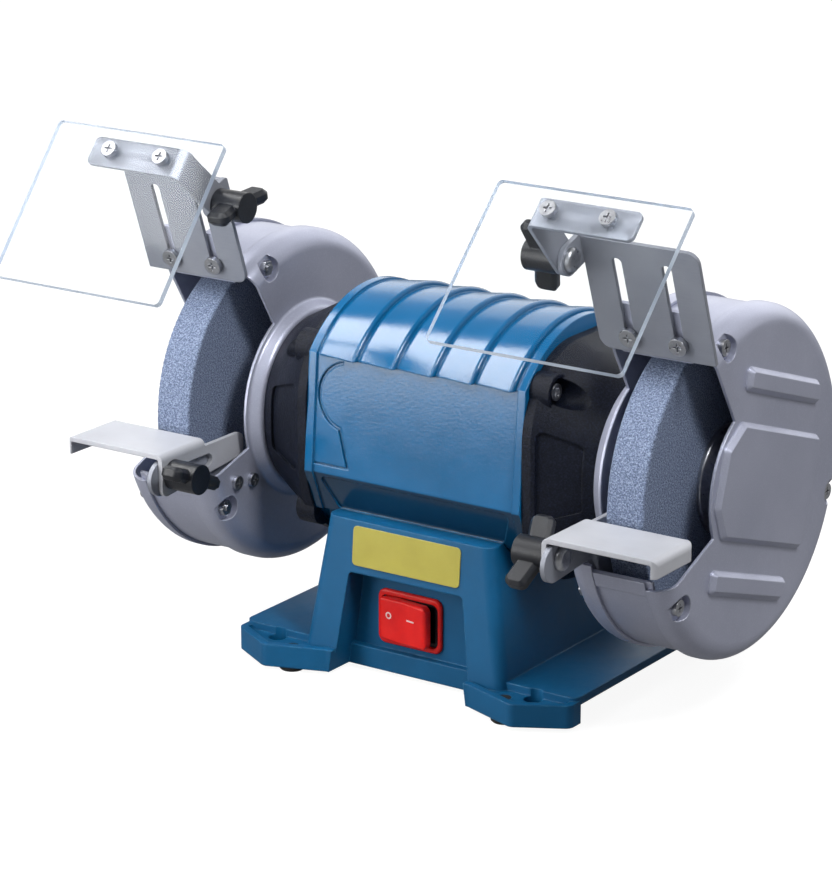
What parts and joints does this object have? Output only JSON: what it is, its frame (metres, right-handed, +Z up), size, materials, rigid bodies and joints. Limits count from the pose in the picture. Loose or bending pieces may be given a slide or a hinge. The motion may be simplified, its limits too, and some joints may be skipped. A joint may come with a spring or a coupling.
{
  "type": "bench grinder",
  "caption": "Bench grinder with a wheel at each end of a finned motor, sheet guards, tool rests, hinged eye shields and a rocker switch on a cast pedestal base.",
  "frame": {"origin": "centre of the bench bolt pattern, at the underside of the rubber feet", "axes": "+X along the shaft to the operator's right, -Y towards the operator, +Z up"},
  "size_m": [0.354, 0.2432, 0.2728],
  "materials": {
    "blue_paint": "gloss enamel",
    "black_paint": "wrinkle paint",
    "grey_paint": "silver-grey enamel",
    "plated_sheet": "zinc-plated sheet",
    "bright_steel": "zinc-plated or ground",
    "abrasive": "bonded grit",
    "clear_pane": "clear sheet",
    "black_plastic": "moulded",
    "red_plastic": "moulded",
    "black_rubber": "moulded",
    "lamination": "stacked sheet",
    "copper_wire": "lacquered wire",
    "can": "drawn can"
  },
  "bodies": {
    "stand": {"base_stand": "blue_paint", "bottom_cover": "plated_sheet", "bottom_cover_screws": "bright_steel", "rubber_feet": "black_rubber", "housing_bolts": "bright_steel", "capacitor": "can", "capacitor_clip": "plated_sheet", "cable_gland": "black_plastic", "motor_housing": "blue_paint", "stator_core": "lamination", "stator_windings": "copper_wire", "end_bell_bolts": "bright_steel", "bearing_outer_rings": "bright_steel", "guard_tie_screws": "bright_steel", "guard_mount_screws": "bright_steel", "spark_plate_screws": "bright_steel", "rest_lug_screws": "bright_steel", "switch_bezel": "red_plastic", "switch_body": "black_plastic", "left_end_bell": "black_paint", "right_end_bell": "black_paint", "left_guard_inner": "grey_paint", "right_guard_inner": "grey_paint", "left_guard_band": "grey_paint", "right_guard_band": "grey_paint", "left_guard_cover": "grey_paint", "right_guard_cover": "grey_paint", "left_rest_lug": "plated_sheet", "right_rest_lug": "plated_sheet", "left_rest_bolt": "bright_steel", "right_rest_bolt": "bright_steel"},
    "rotor": {"shaft": "bright_steel", "rotor_core": "lamination", "bearing_inner_rings": "bright_steel", "bearing_balls": "bright_steel", "left_wheel": "abrasive", "right_wheel": "abrasive", "left_inner_flange": "bright_steel", "right_inner_flange": "bright_steel", "left_outer_flange": "bright_steel", "right_outer_flange": "bright_steel", "left_wheel_nut": "bright_steel", "right_wheel_nut": "bright_steel"},
    "rocker": {"switch_rocker": "red_plastic"},
    "left_rest": {"left_tool_rest": "plated_sheet"},
    "left_rest_knob": {"left_rest_knob": "black_plastic"},
    "left_spark": {"left_spark_plate": "plated_sheet", "left_shield_pivot_bolt": "bright_steel"},
    "left_shield": {"left_eye_shield": "clear_pane", "left_shield_bracket": "plated_sheet", "left_shield_screws": "bright_steel"},
    "left_shield_knob": {"left_shield_knob": "black_plastic"},
    "right_rest": {"right_tool_rest": "plated_sheet"},
    "right_rest_knob": {"right_rest_knob": "black_plastic"},
    "right_spark": {"right_spark_plate": "plated_sheet", "right_shield_pivot_bolt": "bright_steel"},
    "right_shield": {"right_eye_shield": "clear_pane", "right_shield_bracket": "plated_sheet", "right_shield_screws": "bright_steel"},
    "right_shield_knob": {"right_shield_knob": "black_plastic"}
  },
  "joints": [
    {"name": "rotor_spin", "type": "hinge", "parent": "stand", "child": "rotor", "pos_m": [0, 0, 0.118], "axis": [1, 0, 0], "continuous": true},
    {"name": "rocker_tip", "type": "hinge", "parent": "stand", "child": "rocker", "pos_m": [-0.0056, -0.04299, 0.0305], "axis": [0, 0, 1], "range_deg": [0, 14]},
    {"name": "left_rest_slide", "type": "slide", "parent": "stand", "child": "left_rest", "axis": [0, -1, 0], "range_m": [0, 0.028]},
    {"name": "left_rest_knob_turn", "type": "hinge", "parent": "stand", "child": "left_rest_knob", "pos_m": [0, -0.103, 0.102], "axis": [1, 0, 0], "range_deg": [0, 180]},
    {"name": "left_spark_slide", "type": "slide", "parent": "stand", "child": "left_spark", "axis": [0, 0.3371, -0.9415], "range_m": [0, 0.0075]},
    {"name": "left_shield_tilt", "type": "hinge", "parent": "left_spark", "child": "left_shield", "pos_m": [0, -0.0778, 0.23479], "axis": [-1, 0, 0], "range_deg": [-30, 40]},
    {"name": "left_shield_knob_turn", "type": "hinge", "parent": "left_spark", "child": "left_shield_knob", "pos_m": [0, -0.0778, 0.23479], "axis": [1, 0, 0], "range_deg": [0, 180]},
    {"name": "right_rest_slide", "type": "slide", "parent": "stand", "child": "right_rest", "axis": [0, -1, 0], "range_m": [0, 0.028]},
    {"name": "right_rest_knob_turn", "type": "hinge", "parent": "stand", "child": "right_rest_knob", "pos_m": [0, -0.103, 0.102], "axis": [1, 0, 0], "range_deg": [0, 180]},
    {"name": "right_spark_slide", "type": "slide", "parent": "stand", "child": "right_spark", "axis": [0, 0.3371, -0.9415], "range_m": [0, 0.0075]},
    {"name": "right_shield_tilt", "type": "hinge", "parent": "right_spark", "child": "right_shield", "pos_m": [0, -0.0778, 0.23479], "axis": [-1, 0, 0], "range_deg": [-30, 40]},
    {"name": "right_shield_knob_turn", "type": "hinge", "parent": "right_spark", "child": "right_shield_knob", "pos_m": [0, -0.0778, 0.23479], "axis": [1, 0, 0], "range_deg": [0, 180]}
  ]
}
